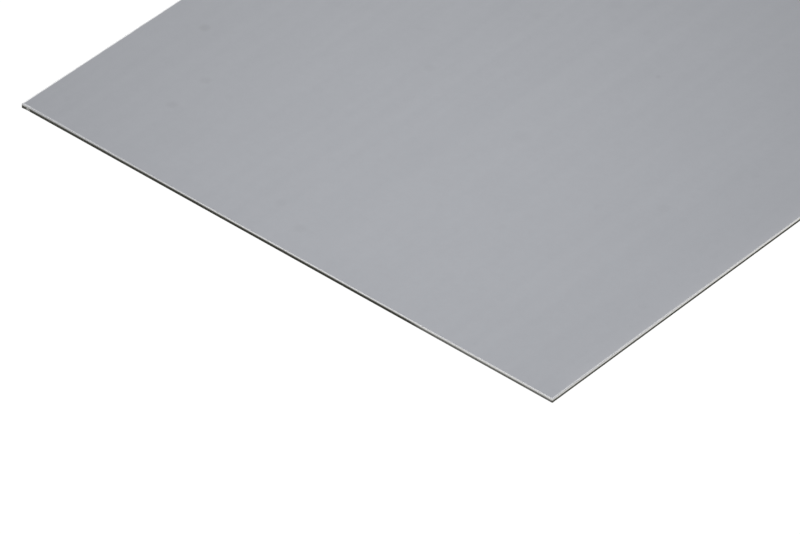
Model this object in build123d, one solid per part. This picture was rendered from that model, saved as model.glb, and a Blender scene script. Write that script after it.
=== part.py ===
from build123d import *
import os

# A loose sheet of rigid plastic, lying flat. It was cut to size on a guillotine shear.
# The origin is at the middle of the underside. X runs along the sheet, Y runs across it and Z is up.
# Sizes are in millimetres.

# The sheet, measured to the outermost line of its cut edges.
sheet_length = 500.0
sheet_width = 250.0
sheet_thickness = 2.0

# A sheared edge, from the top down: the blade rolls the upper arris over, rubs an upright land
# smooth, and the rest breaks away under the land and slopes in to a sharp lower arris.
rollover_width = 0.3
rollover_drop = 0.2
break_undercut = 0.15

# The ends and the sides were cut on different strokes, so the break starts at its own height.
end_break_height = 1.3
side_break_height = 1.1

# A small chip in the break of the left end, near its rear corner.
chip_width = 1.2
chip_depth = 0.3
chip_height = 0.65
chip_from_corner = 3.0


def sheared_section(plane, span, break_height):
    """The section from one cut edge to the opposite one, drawn on a plane that stands on the underside."""
    edge = span / 2
    land_top = sheet_thickness - rollover_drop
    with BuildSketch(plane) as section:
        with BuildLine():
            underside = Line((0, 0), (edge - break_undercut, 0))
            broken_face = Line(underside @ 1, (edge, break_height))
            Line(broken_face @ 1, (edge, land_top))
            rollover_centre = (edge - rollover_width, land_top)
            EllipticalCenterArc(rollover_centre, rollover_width, rollover_drop, start_angle=0, arc_size=90)
            Line((edge - rollover_width, sheet_thickness), (0, sheet_thickness))
            mirror(about=Plane.YZ)
        make_face()
    return section.sketch


def sheared_blank():
    """The sheet with all four edges sheared, where its two sections run through each other."""
    lengthwise = sheared_section(Plane.XZ, sheet_length, end_break_height)
    crosswise = sheared_section(Plane.YZ, sheet_width, side_break_height)
    ends_cut = extrude(lengthwise, amount=sheet_width, both=True)
    sides_cut = extrude(crosswise, amount=sheet_length, both=True)
    return ends_cut & sides_cut


def edge_chip():
    """A shell-shaped chip: the cap of a ball, its seam turned outward, sunk to the chip's depth."""
    ball_radius = (chip_width**2 / 4 + chip_depth**2) / (2 * chip_depth)
    centre_x = -(sheet_length / 2 + ball_radius - chip_depth)
    centre_y = sheet_width / 2 - chip_from_corner
    return Pos(centre_x, centre_y, chip_height) * Rot(0, 0, 180) * Sphere(ball_radius)


sheet = sheared_blank() - edge_chip()

os.makedirs("parts", exist_ok=True)
export_step(sheet, "parts/sheet.step")
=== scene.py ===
import math

import bmesh
import bpy
import numpy as np
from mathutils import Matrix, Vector


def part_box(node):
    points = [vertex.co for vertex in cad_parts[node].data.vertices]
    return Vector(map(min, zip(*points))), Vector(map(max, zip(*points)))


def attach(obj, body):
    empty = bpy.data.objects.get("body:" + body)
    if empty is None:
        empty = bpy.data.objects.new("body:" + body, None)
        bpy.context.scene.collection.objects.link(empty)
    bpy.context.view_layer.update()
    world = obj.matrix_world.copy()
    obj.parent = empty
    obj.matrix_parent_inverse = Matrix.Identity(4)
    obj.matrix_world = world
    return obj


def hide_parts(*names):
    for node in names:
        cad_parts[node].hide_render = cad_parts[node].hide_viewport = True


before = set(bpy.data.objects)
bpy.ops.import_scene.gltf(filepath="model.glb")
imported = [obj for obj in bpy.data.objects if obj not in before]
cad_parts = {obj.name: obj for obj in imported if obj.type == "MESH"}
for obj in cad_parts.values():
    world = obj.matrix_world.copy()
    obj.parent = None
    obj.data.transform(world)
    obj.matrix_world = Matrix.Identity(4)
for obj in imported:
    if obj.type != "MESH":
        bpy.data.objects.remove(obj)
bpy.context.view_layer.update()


# The blank: one rigid plastic sheet, rolled to an even gauge and cut to size on a guillotine shear.
# Its two faces are flat. Each edge has a rolled arris, an upright rubbed land and a torn break that
# slopes in to the lower arris. The left end has a small chip in its break, near the rear corner.

MM = 0.001
sheet_low, sheet_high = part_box("sheet")
sheet_length, sheet_width, sheet_thickness = sheet_high - sheet_low

rollover_width = 0.3 * MM
rollover_drop = 0.2 * MM
break_undercut = 0.15 * MM
end_break_height = 1.3 * MM
side_break_height = 1.1 * MM

chip_width = 1.2 * MM
chip_depth = 0.3 * MM
chip_height = 0.65 * MM
chip_from_corner = 3.0 * MM


def by_cut(on_sides, on_ends):
    """One value for each cut, in the order in which they go round the sheet: the front side, the
    right end, the rear side and the left end."""
    return np.array([on_sides, on_ends, on_sides, on_ends])


# The first cut starts at the front left corner. The tip is the corner where the left end's starts.
side_lengths = by_cut(sheet_length, sheet_width)
side_starts = np.concatenate([[0.0], np.cumsum(side_lengths)])
lap = side_starts[-1]
corner_x = np.array([-1.0, 1.0, 1.0, -1.0, -1.0])
corner_y = np.array([-1.0, -1.0, 1.0, 1.0, -1.0])
break_heights = by_cut(side_break_height, end_break_height)
left_end = 3
tip_run = side_starts[left_end]

station_spacing = 0.6 * MM
chip_crowding = 12.0
chip_reach = 1.8 * MM
crowding_steps = 20000


def stations():
    """The places round the sheet where its section is drawn: their side, and their share of the way
    along it. They are evenly spaced, but on the left end they crowd round the chip: their density
    there is one plus a bell curve."""
    fine = np.linspace(0.0, 1.0, crowding_steps + 1)
    bell = np.exp(-(((fine * sheet_width - chip_from_corner) / chip_reach) ** 2))
    density = 1.0 + chip_crowding * bell
    way = np.concatenate([[0.0], np.cumsum(0.5 * (density[1:] + density[:-1]))])
    sides, shares = [], []
    for side, length in enumerate(side_lengths):
        count = round(length / station_spacing)
        share = np.arange(count) / count
        if side == left_end:
            share = np.interp(share * way[-1], way, fine)
        sides.append(np.full(count, side))
        shares.append(share)
    return np.concatenate(sides), np.concatenate(shares)


def smooth(value):
    """The smooth step: 3 t squared less 2 t cubed, with t kept from 0 to 1."""
    t = np.clip(value, 0.0, 1.0)
    return t * t * (3.0 - 2.0 * t)


def wavelengths(rng, shortest, longest, waves):
    """Random wavelengths, as many in each octave from the shortest to the longest."""
    return np.exp(rng.uniform(np.log(shortest), np.log(longest), waves))


wander_waves = 24


def wander(run, shortest, longest, seed):
    """A smooth wandering line that meets itself after one lap: a sum of sines with whole numbers of
    waves to the lap, random phases, and heights that grow with the wavelength. About -1 to 1."""
    rng = np.random.default_rng(seed)
    lengths = wavelengths(rng, shortest, longest, wander_waves)
    counts = np.round(lap / lengths)
    phases = rng.uniform(0.0, 2.0 * np.pi, wander_waves)
    heights = np.sqrt(lengths / longest)
    sines = np.sin(2.0 * np.pi * run[:, None] * counts / lap + phases)
    return (sines * heights).sum(1) / np.sqrt((heights**2).sum())


# The torn relief has a coarse and a fine band: the shortest and the longest wave, and the height.
hackle_bands = ((2.5 * MM, 9.0 * MM, 0.7), (1.4 * MM, 3.0 * MM, 1.1))
hackle_middle = 0.5
hackle_waves = 9
hackle_slant = 5.0
hackle_seed = 5


def hackles(run, down):
    """The torn relief of the break, from 0 to 1: its middle plus, for each band, the mean of slanting
    sines over the run round the sheet and the share of the way down the break."""
    rng = np.random.default_rng(hackle_seed)
    relief = hackle_middle
    for shortest, longest, height in hackle_bands:
        counts = np.round(lap / wavelengths(rng, shortest, longest, hackle_waves))
        slants = rng.uniform(-hackle_slant, hackle_slant, hackle_waves)
        phases = rng.uniform(0.0, 2.0 * np.pi, hackle_waves)
        turns = 2.0 * np.pi * run[None, :, None] * counts / lap
        relief = relief + height * np.sin(turns + slants * down[:, :, None] + phases).mean(2)
    return np.clip(relief, 0.0, 1.0)


# The rows of the section, from the middle of the top face to the middle of the underside. The rows
# from the insets by the edge down to the lower arris take the finish of a sheared edge.
face_insets = np.append(sheet_width / 2, np.array([40.0, 16.0, 8.0, 4.0, 2.0]) * MM)
edge_insets = np.array([1.2, 0.8, 0.5]) * MM
under_insets = np.append(np.array([0.6, 3.0, 30.0]) * MM, sheet_width / 2)
arris_rows, land_rows, break_rows = 9, 4, 9
break_first_step = 0.05
cut_top_row = len(face_insets)
cut_end_row = cut_top_row + len(edge_insets) + arris_rows + land_rows + break_rows - 1

# The line between land and break wanders a little, and on the left end it climbs towards the tip.
# At the corners it blends into one height for all, and the torn relief is lower.
line_wander = 0.02 * MM
line_waves = (6.0 * MM, 70.0 * MM)
line_seed = 11
end_line_climb = 0.1 * MM
corner_blend = 4.0 * MM
corner_swell = 0.3
hackle_depth = 0.03 * MM

# At the tip the lower arris runs out to the very point.
tip_point_length = 2.0 * MM


def spread(row_values, columns):
    """A grid with one of the values in each row, the same in all its columns."""
    return np.repeat(row_values[:, None], columns, axis=1)


def sheet_surface(side, share):
    """The whole skin as one grid. Its columns are the stations. Its rows run from the top face's
    middle out to the arris, down the cut and back under to the underside's middle. A point is its
    station, drawn in by the row's inset, at the row's height: on the arris a quarter ellipse, on the
    land upright, and on the break a slope plus the torn relief and the chip, which is a ball's cap.
    With the points come their insets and the height of the line between land and break."""
    along = corner_x[side] * (1.0 - share) + corner_x[side + 1] * share
    across = corner_y[side] * (1.0 - share) + corner_y[side + 1] * share
    length = side_lengths[side]
    run = side_starts[side] + share * length

    clear = smooth(np.minimum(share, 1.0 - share) * length / corner_blend)
    own_height = break_heights[side] + end_line_climb * (side == left_end) * (1.0 - share)
    own_height = own_height + line_wander * wander(run, *line_waves, line_seed)
    line = break_heights.mean() * (1.0 - clear) + own_height * clear
    point = smooth(1.0 - abs(run - tip_run) / tip_point_length)

    columns = len(share)
    top = spread(np.append(face_insets, edge_insets), columns)
    turn = spread(np.linspace(0.0, np.pi / 2, arris_rows), columns)
    land = spread(np.linspace(0.0, 1.0, land_rows + 1)[1:], columns)
    down = spread(np.append(break_first_step, np.linspace(0.0, 1.0, break_rows)[1:]), columns)
    under = spread(under_insets, columns)

    land_top = sheet_thickness - rollover_drop
    heights = [
        np.full_like(top, sheet_thickness),
        land_top + rollover_drop * np.cos(turn),
        land_top + (line - land_top) * land,
        line * (1.0 - down),
        np.zeros_like(under),
    ]
    swell = np.sin(np.pi * down) * (corner_swell + (1.0 - corner_swell) * clear)
    insets = [
        top,
        rollover_width * (1.0 - np.sin(turn)),
        np.zeros_like(land),
        break_undercut * down * (1.0 - point) + hackle_depth * swell * hackles(run, down),
        under,
    ]
    height, inset = np.concatenate(heights), np.concatenate(insets)

    ball = (chip_width**2 / 4 + chip_depth**2) / (2 * chip_depth)
    off_chip = np.hypot(share * length - chip_from_corner, height - chip_height)
    cap = np.sqrt(np.maximum(ball**2 - off_chip**2, 0.0)) - (ball - chip_depth)
    in_chip = (side == left_end) & (cap > inset)
    inset = np.where(in_chip, cap, inset)

    x = along * (sheet_length / 2 - inset)
    y = across * (sheet_width / 2 - inset)
    return np.stack([x, y, height], axis=2), inset, line


def corners_of_quads(grid):
    """The values at the four corners of each quad of a grid whose last column meets its first."""
    after = np.roll(grid, -1, axis=1)
    return np.stack([grid[:-1], grid[1:], after[1:], after[:-1]], axis=2)


# The square map that the finishes are baked to, in shares of its side. Each face of the sheet is one
# rectangle, and each cut is a strip that is stretched across its height, so that its narrow bands
# get enough of the map.
bake_rim = 0.006
top_floor, top_ceiling = 0.66, 0.99
under_floor, under_ceiling = 0.48, 0.65
strip_pitch = 0.118
strip_height = strip_pitch - 2 * bake_rim


def bake_places(points, side, way_along):
    """Where the corners of each quad lie on the baked map. On a face that is the place along and
    across it, and on a cut the share of the way along its side by the mean way down it."""
    corners = corners_of_quads(points)
    by_length = 0.5 + (1.0 - 2 * bake_rim) * corners[..., 0] / sheet_length
    by_width = 0.5 + corners[..., 1] / sheet_width
    top = np.stack([by_length, top_floor + (top_ceiling - top_floor) * by_width], axis=3)
    under = np.stack([1.0 - by_length, under_floor + (under_ceiling - under_floor) * by_width], axis=3)

    steps = np.linalg.norm(np.diff(points[cut_top_row : cut_end_row + 1], axis=0), axis=2).mean(1)
    way = np.concatenate([[0.0], np.cumsum(steps)]) / steps.sum()
    way = np.concatenate([np.zeros(cut_top_row), way, np.ones(len(points) - cut_end_row - 1)])
    way_down = np.stack([way[:-1], way[1:], way[1:], way[:-1]], axis=1)[:, None, :]
    strip_u = bake_rim + (1.0 - 2 * bake_rim) * way_along
    strip_v = strip_pitch * (side[None, :, None] + 1) - bake_rim - strip_height * way_down
    strip = np.stack(np.broadcast_arrays(strip_u, strip_v), axis=3)

    row = np.arange(len(points) - 1)[:, None, None, None]
    return np.where(row < cut_top_row, top, np.where(row < cut_end_row, strip, under))


merge_within = 0.001 * MM
sharp_from = math.radians(32.0)


def skin_mesh(name, side, share, points, tones, finishes):
    """Joins the grid's points into quads, wraps the last column to the first and merges what meets
    on the middle lines. The tones lie on the points. The finishes are those of the faces, of the
    sides' cuts and of the ends' cuts. cut_map holds the run round the sheet and the height, both in
    millimetres."""
    rows, columns = points.shape[:2]
    quads = corners_of_quads(np.arange(rows * columns).reshape(rows, columns))
    next_share = np.where(np.roll(side, -1) == side, np.roll(share, -1), 1.0)
    way_along = np.stack([share, share, next_share, next_share], axis=1)
    run = side_starts[side][:, None] + way_along * side_lengths[side][:, None]
    height = corners_of_quads(points[..., 2])
    row = np.arange(rows - 1)[:, None]
    of_cut = (row >= cut_top_row) & (row < cut_end_row)
    finish = np.where(of_cut, 1 + side % 2, 0).astype(np.int32)

    mesh = bpy.data.meshes.new(name)
    mesh.from_pydata(points.reshape(-1, 3), [], quads.reshape(-1, 4))
    mesh.polygons.foreach_set("material_index", finish.ravel())
    mesh.polygons.foreach_set("use_smooth", np.ones(finish.size, bool))
    maps = {
        "cut_map": np.stack(np.broadcast_arrays(run, height), axis=3) / MM,
        "OFBake": bake_places(points, side, way_along),
    }
    for map_name, places in maps.items():
        layer = mesh.uv_layers.new(name=map_name)
        layer.data.foreach_set("uv", places.astype(np.float32).ravel())
    for tone_name, tone in tones.items():
        attribute = mesh.attributes.new(tone_name, "FLOAT", "POINT")
        attribute.data.foreach_set("value", tone.astype(np.float32).ravel())
    for made in finishes:
        mesh.materials.append(made)

    work = bmesh.new()
    work.from_mesh(mesh)
    bmesh.ops.remove_doubles(work, verts=work.verts, dist=merge_within)
    work.to_mesh(mesh)
    work.free()
    mesh.set_sharp_from_angle(angle=sharp_from)
    return mesh


# The rolled faces: satin grey plastic, as the polishing rolls left it. It has a very fine grain, a
# slow drift of tone, faint lines along the rolling direction and a few soft dark smudges from
# handling. Near the cuts it turns pale: partly stress whitening from the blade and partly painted
# highlight.

face_grey = (0.2893, 0.2995, 0.3268)
# The pale colour of the arris and land: stress whitening, brightened with painted highlight.
pale_whitening_and_highlight = (0.9, 0.898, 0.905)
face_roughness = 0.5
rubbed_roughness = 0.42
plastic_ior = 1.5

# A noise has its waves to the millimetre and its detail. The mottle adds up three, each after its
# strength. The rolls' lines have their waves along, across and up, and change tone, roughness and
# relief. Reliefs are in micrometres.
mottles = ((0.05, 0.03, 3.0), (0.04, 0.3, 1.0), (0.035, 0.8, 2.0))
roll_waves, roll_detail = (0.004, 0.22, 1.0), 4.0
roll_tone, roll_gloss, roll_relief = 0.012, 0.08, 0.75
grain_waves, grain_detail, grain_relief = 4.0, 3.0, 3.0
micrometre = 0.001 * MM

# The clearest smudges on the top face, in millimetres: along, across, radius and how dark. Height
# counts tenfold in the distance from them, so that they don't reach through to the underside.
height_weight = 10.0
face_smudges = (
    (-173.5, 106.5, 3.0, 0.09),
    (-196.5, 85.0, 3.0, 0.065),
    (-215.0, 84.0, 3.0, 0.065),
    (-231.0, 17.0, 3.0, 0.03),
    (-237.5, 2.0, 3.5, 0.045),
    (-144.5, -86.0, 3.5, 0.035),
    (-138.0, 29.5, 3.0, 0.035),
    (-88.5, 21.0, 3.0, 0.03),
    (-87.0, -35.5, 1.5, 0.06),
    (-146.0, -22.5, 5.0, 0.035),
    (-63.5, 3.5, 5.0, 0.025),
)

# Fainter ones lie one to a cell over both faces. Their pattern slides along as it goes up, by this
# much to the millimetre, so that the two faces differ. All are fully dark only in their heart, which
# is a share of the radius.
smudge_cell = 45.0
faint_radius = 2.4
faint_dark = 0.02
under_shift = 23.0
smudge_heart = 0.25


class Wire:
    """A socket inside one material. Arithmetic on it adds the Math node that it stands for."""

    def __init__(self, tree, socket=None):
        self.tree = tree
        self.socket = socket

    def add(self, kind, settings=None, values=None, output=0):
        """Adds a node of this kind: first its settings, then the values or wires of its sockets."""
        node = self.tree.nodes.new("ShaderNode" + kind)
        for name, setting in (settings or {}).items():
            setattr(node, name, setting)
        for name, value in (values or {}).items():
            if isinstance(value, Wire):
                self.tree.links.new(value.socket, node.inputs[name])
            elif node.inputs[name].type == "RGBA":
                node.inputs[name].default_value = (*value, 1.0)
            else:
                node.inputs[name].default_value = value
        return Wire(self.tree, node.outputs[output] if node.outputs else None)

    def maths(self, operation, *terms):
        """A Math node of this operation on its terms, which are numbers or wires."""
        return self.add("Math", {"operation": operation}, dict(enumerate(terms)))

    def __add__(self, other):
        return self.maths("ADD", self, other)

    def __radd__(self, other):
        return self.maths("ADD", other, self)

    def __sub__(self, other):
        return self.maths("SUBTRACT", self, other)

    def __rsub__(self, other):
        return self.maths("SUBTRACT", other, self)

    def __mul__(self, other):
        return self.maths("MULTIPLY", self, other)

    def __rmul__(self, other):
        return self.maths("MULTIPLY", other, self)

    def place(self):
        """The place on the sheet, in millimetres."""
        metres = self.add("TexCoord", output="Object")
        return self.add("VectorMath", {"operation": "SCALE"}, {0: metres, "Scale": 1.0 / MM})

    def tone(self, name):
        """One of the tones that the mesh carries on its points."""
        return self.add("Attribute", {"attribute_name": name}, output="Fac")

    def step(self, low, high):
        """0 below the low value, 1 above the high one, and a smooth rise between them."""
        rise = {"interpolation_type": "SMOOTHSTEP"}
        return self.add("MapRange", rise, {"Value": self, "From Min": low, "From Max": high})

    def part(self, axis):
        """One of a vector's three numbers, by its place."""
        return self.add("SeparateXYZ", {}, {0: self}, axis)

    def distance(self, centre):
        """How far this place is from the centre."""
        return self.add("VectorMath", {"operation": "DISTANCE"}, {0: self, 1: centre}, "Value")

    def noise(self, waves, detail):
        """Noise about 0 at this place, with about so many waves to each unit of length."""
        return self.add("TexNoise", {}, {"Vector": self, "Scale": waves, "Detail": detail}) - 0.5

    def tint(self, first, second):
        """The first colour where this is 0 and the second where it is 1."""
        return self.add("Mix", {"data_type": "RGBA"}, {0: self, 6: first, 7: second}, 2)

    def shaded(self, colour):
        """The colour times this number."""
        return self.add("VectorMath", {"operation": "SCALE"}, {0: colour, "Scale": self})


def new_finish(name):
    """An empty material, and a wire that adds nodes to it."""
    made = bpy.data.materials.new(name)
    made.use_nodes = True
    made.node_tree.nodes.clear()
    return made, Wire(made.node_tree)


def plastic(wire, colour, roughness, relief):
    """The plastic's shader, wired to the material's surface. The relief is in micrometres."""
    bump = wire.add("Bump", {}, {"Height": relief, "Distance": micrometre})
    looks = {"Base Color": colour, "Roughness": roughness, "Normal": bump, "IOR": plastic_ior}
    wire.add("OutputMaterial", {}, {"Surface": wire.add("BsdfPrincipled", {}, looks)})


def smudges(wire, place):
    """How much the smudges take off the tone at this place. Each is dark in its heart and fades out
    to its radius. The faint ones lie at the points of a flat Voronoi pattern."""
    flat = {"X": place.part(0) + place.part(2) * under_shift, "Y": place.part(1)}
    cells = {"Vector": wire.add("CombineXYZ", {}, flat), "Scale": 1.0 / smudge_cell}
    away = wire.add("TexVoronoi", {"voronoi_dimensions": "2D"}, cells) * smudge_cell
    taken = faint_dark * (1.0 - away.step(smudge_heart * faint_radius, faint_radius))
    lifted = wire.add("Mapping", {}, {"Vector": place, "Scale": (1.0, 1.0, height_weight)})
    for along, across, radius, dark in face_smudges:
        away = lifted.distance((along, across, height_weight * sheet_thickness / MM))
        taken = taken + dark * (1.0 - away.step(smudge_heart * radius, radius))
    return taken


def rolled_grey(wire, place, pale):
    """The rolled plastic's colour, roughness and relief, at this place and this pale. Its tone is 1
    plus the rolls' lines and the mottle, less the smudges."""
    stretched = wire.add("Mapping", {}, {"Vector": place, "Scale": roll_waves})
    lines = stretched.noise(1.0, roll_detail)
    tone = 1.0 + roll_tone * lines - smudges(wire, place)
    for strength, waves, detail in mottles:
        tone = tone + strength * place.noise(waves, detail)

    # Where pale, towards the pale colour, which is partly painted highlight.
    colour = pale.tint(tone.shaded(face_grey), pale_whitening_and_highlight)
    roughness = face_roughness + roll_gloss * lines + (rubbed_roughness - face_roughness) * pale
    relief = grain_relief * place.noise(grain_waves, grain_detail) + roll_relief * lines
    return colour, roughness, relief


def satin_faces():
    """The finish of the two rolled faces, pale towards the cuts."""
    made, wire = new_finish("satin_grey_plastic")
    plastic(wire, *rolled_grey(wire, wire.place(), wire.tone("pale")))
    return made


# The sheared edge: the same plastic after the blade. The arris and the land are rubbed, in fine
# slanting drag lines, and pale: partly stress whitening and partly painted highlight. The break under
# them is torn, rough and dark, its own dark deepened with painted shade, apart from the chip, which
# is whitened out to a ragged rim.

# The pale band covers the land and the arris and ends on the face, at its reach. On the rear side it
# reaches well onto the face: that wider band is painted highlight. At the start of a cut it reaches
# further, but is weaker by the loss, which on the ends is painted shade. The land is spared a share
# of that loss. So is the tip, fully within its length and not at all past two: that is a painted
# highlight.
pale_reaches = np.array([0.14, 0.16, 0.55, 0.16]) * MM
pale_softness = by_cut(0.17, 0.13) * MM
pale_strengths = by_cut(1.0, 0.82)
pale_wander = 0.06
pale_waves = (3.0 * MM, 25.0 * MM)
pale_seed = 17
start_reaches = np.array([0.2, 0.38, 0.0, 0.38]) * MM
start_reach_lengths = by_cut(130.0, 65.0) * MM
start_losses = by_cut(0.44, 0.58)
start_loss_lengths = by_cut(150.0, 110.0) * MM
land_spared = 0.45
land_spared_drop = 2.0 * rollover_drop
tip_painted_highlight = 0.3
tip_highlight_length = 3.0 * MM

# The front side has a faint halo besides, which sets in away from its corners.
halo_strengths = np.array([0.045, 0.0, 0.0, 0.0])
halo_reach = 4.0 * MM
halo_lead = 14.0 * MM

# The dark tear begins a little under the line between land and break. On the ends it climbs above
# it and is fully dark, but not on the last stretch, where it is weaker: that climb and that extra
# dark are painted shade. It is a little weaker at the start of a cut too.
tear_depths = by_cut(0.03, 0.08) * MM
tear_softness = by_cut(0.125, 0.36) * MM
painted_shade_climbs = by_cut(0.0, 0.2) * MM
last_stretch_length = 62.0 * MM
last_stretch_blend = 5.0 * MM
last_stretch_losses = by_cut(0.0, 0.16)
tear_start_loss = 0.05
tear_start_length = 40.0 * MM


def soft_edge(inside, softness):
    """A smooth rise from 0 to 1, over the softness on either side of the line where inside is 0."""
    return smooth(0.5 + 0.5 * inside / softness)


def edge_tones(side, share, height, inset, line):
    """Two tones from 0 to 1 over the grid: how pale each point is, partly painted highlight, and how
    torn, partly painted shade. Pale is a soft edge at the reach, times the strength less the loss, or
    the halo where that is more. Torn is a soft edge at the top of the tear, less its losses at the
    cut's two ends."""
    length = side_lengths[side]
    from_start = share * length
    to_leave = length - from_start
    run = side_starts[side] + from_start

    reach = start_reaches[side] * smooth(1.0 - from_start / start_reach_lengths[side])
    reach = (pale_reaches[side] + reach) * (1.0 + pale_wander * wander(run, *pale_waves, pale_seed))
    pale = soft_edge(reach - inset, pale_softness[side])
    # The start loss dims the pale band; on the ends it is painted shade.
    loss = start_losses[side] * smooth(1.0 - from_start / start_loss_lengths[side])
    # The tip loses less of the pale: a painted highlight.
    loss = loss * (1.0 - tip_painted_highlight * smooth(2.0 - abs(run - tip_run) / tip_highlight_length))
    on_land = smooth((sheet_thickness - height) / land_spared_drop)
    pale = pale * pale_strengths[side] * (1.0 - loss * (1.0 - land_spared * on_land))
    halo = halo_strengths[side] * smooth(np.minimum(from_start, to_leave) / halo_lead)
    pale = np.maximum(pale, halo * np.exp(-inset / halo_reach))

    # Off the last stretch of an end the tear climbs and darkens: painted shade.
    on_last_stretch = soft_edge(last_stretch_length - to_leave, last_stretch_blend)
    tear_top = line - tear_depths[side] + painted_shade_climbs[side] * (1.0 - on_last_stretch)
    torn = soft_edge(tear_top - height, tear_softness[side])
    torn = torn * (1.0 - tear_start_loss * np.exp(-from_start / tear_start_length))
    torn = torn * (1.0 - last_stretch_losses[side] * on_last_stretch)
    return {"pale": pale, "torn": torn}


# Up to the first height, in millimetres, the cut is warmer in hue than the face, and from the second
# on it is not.
cut_warmth = (1.006, 1.0, 0.955)
warm_up_to, plain_from = 1.4, 1.9

# Drag lines: how many millimetres they are apart, how far they lean to a millimetre of height, and
# how slowly they change down the cut.
drag_spacing = 0.22
drag_slant = 0.6
drag_stretch = 0.15
drag_detail = 2.0
drag_tone = 0.16
drag_relief = 8.0

# The tear, whose dark colours are its own dark deepened with painted shade, and how far its ragged
# tongues follow the drag lines.
side_dark_and_painted_shade = (0.034, 0.0325, 0.014)
end_dark_and_painted_shade = (0.0125, 0.0125, 0.003)
torn_roughness = 0.8
tear_waves, tear_detail = 2.5, 4.0
tear_tone = 2.0
tear_relief = 60.0
torn_tongues = 2.5

# The chip's whitening: its middle on cut_map, its rim's radius in millimetres and how ragged it is.
chip_centre = ((tip_run + chip_from_corner) / MM, chip_height / MM, 0.0)
chip_rim = 0.8
chip_rim_blend = 0.12
chip_rim_ragged = 0.5
chip_whitening = 0.45


def sheared_edge(name, torn_dark_and_painted_shade):
    """The finish of a cut: the rolled plastic with drag lines where it is pale, turning where it is
    torn into a mottled dark, partly painted shade, and less so within the chip's rim."""
    made, wire = new_finish(name)
    place, pale = wire.place(), wire.tone("pale")
    colour, roughness, relief = rolled_grey(wire, place, pale)
    cut = wire.add("UVMap", {"uv_map": "cut_map"})
    run, height = cut.part(0), cut.part(1)
    slanted = wire.add("CombineXYZ", {}, {"X": run + drag_slant * height, "Y": drag_stretch * height})
    drag = slanted.noise(1.0 / drag_spacing, drag_detail)
    tear = place.noise(tear_waves, tear_detail)

    off_chip = cut.distance(chip_centre) + chip_rim_ragged * tear
    whitened = 1.0 - off_chip.step(chip_rim - chip_rim_blend, chip_rim + chip_rim_blend)
    torn = wire.tone("torn")
    torn = (torn + torn_tongues * drag * torn * (1.0 - torn)) * (1.0 - chip_whitening * whitened)

    warmed = wire.add("VectorMath", {"operation": "MULTIPLY"}, {0: colour, 1: cut_warmth})
    colour = height.step(warm_up_to, plain_from).tint(warmed, colour)
    colour = (1.0 + drag_tone * drag * pale).shaded(colour)
    # Where torn, towards the dark colour, which is partly painted shade.
    colour = torn.tint(colour, (1.0 + tear_tone * tear).shaded(torn_dark_and_painted_shade))
    roughness = roughness + (torn_roughness - rubbed_roughness) * torn
    plastic(wire, colour, roughness, relief + drag_relief * drag * pale + tear_relief * tear * torn)
    return made


side, share = stations()
points, inset, line = sheet_surface(side, share)
tones = edge_tones(side, share, points[..., 2], inset, line)
finishes = [
    satin_faces(),
    sheared_edge("sheared_side", side_dark_and_painted_shade),
    sheared_edge("sheared_end", end_dark_and_painted_shade),
]
skin = skin_mesh("grey_sheet", side, share, points, tones, finishes)
grey_sheet = bpy.data.objects.new("grey_sheet", skin)
bpy.context.scene.collection.objects.link(grey_sheet)
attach(grey_sheet, "root")
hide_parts("sheet")


# The floor: a wide plain white table that the sheet lies on. It is lit from within, so that it shows
# an even white right up to the sheet, and it lies a hair lower than the sheet's underside.

floor_side = 60.0
floor_gap = 0.01 * MM
floor_white = (0.04, 0.04, 0.04)
floor_roughness = 0.9
floor_glow = 1.0
plain_white = (1.0, 1.0, 1.0)


def lit_table():
    """A dull surface that sends out an even white light of its own."""
    made, wire = new_finish("white_table")
    looks = {"Base Color": floor_white, "Roughness": floor_roughness}
    looks |= {"Emission Color": plain_white, "Emission Strength": floor_glow}
    wire.add("OutputMaterial", {}, {"Surface": wire.add("BsdfPrincipled", {}, looks)})
    return made


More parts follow.
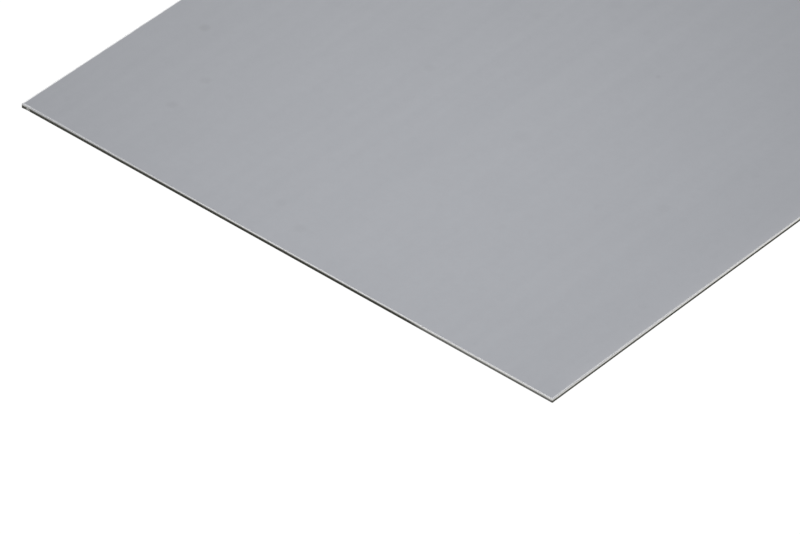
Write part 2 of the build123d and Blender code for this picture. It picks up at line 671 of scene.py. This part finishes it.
table = bpy.data.meshes.new("white_floor")
table_x, table_y = corner_x[:4] * floor_side / 2, corner_y[:4] * floor_side / 2
table.from_pydata(np.stack([table_x, table_y, np.full(4, -floor_gap)], axis=1), [], [(0, 1, 2, 3)])
table.materials.append(lit_table())
white_floor = bpy.data.objects.new("white_floor", table)
bpy.context.scene.collection.objects.link(white_floor)


# The light: a plain white room that is evenly lit, with two square softboxes that shine straight
# down. The near one hangs low over the left end, and the wider one high behind the sheet.

room_strength = 0.341
key_place, key_side, key_radiance = (-0.23, -0.05, 0.35), 0.25, 4.56
back_place, back_side, back_radiance = (0.6, 0.7, 0.8), 0.6, 5.9


def softbox(name, place, side_length, radiance):
    """A square lamp that shines straight down and sends out the same radiance from all its face. It
    doesn't show itself."""
    lamp = bpy.data.lights.new(name, "AREA")
    lamp.shape = "SQUARE"
    lamp.size = side_length
    lamp.energy = radiance * math.pi * side_length**2
    holder = bpy.data.objects.new(name, lamp)
    holder.location = place
    holder.visible_camera = False
    bpy.context.scene.collection.objects.link(holder)


softbox("key_softbox", key_place, key_side, key_radiance)
softbox("back_softbox", back_place, back_side, back_radiance)

room = bpy.data.worlds.new("white_room")
room.use_nodes = True
room.node_tree.nodes["Background"].inputs["Color"].default_value = (*plain_white, 1.0)
room.node_tree.nodes["Background"].inputs["Strength"].default_value = room_strength
bpy.context.scene.world = room
bpy.context.scene.view_settings.view_transform = "Standard"


# The camera: a long lens, well back from the sheet and above it. It looks down at the left end, so
# that this end shows whole and the long sides run out of the picture.

camera_lens = 334.57
camera_aim = Vector((-0.228675, -0.036875, 0.0))
camera_distance = 2.5898
camera_heading = math.radians(41.5008)
camera_elevation = math.radians(38.6488)

sight = Vector(
    (
        math.cos(camera_elevation) * math.cos(camera_heading),
        math.cos(camera_elevation) * math.sin(camera_heading),
        -math.sin(camera_elevation),
    )
)
view = bpy.data.cameras.new("photo_camera")
view.lens = camera_lens
camera = bpy.data.objects.new("photo_camera", view)
camera.location = camera_aim - sight * camera_distance
camera.rotation_euler = sight.to_track_quat("-Z", "Y").to_euler()
bpy.context.scene.collection.objects.link(camera)
bpy.context.scene.camera = camera
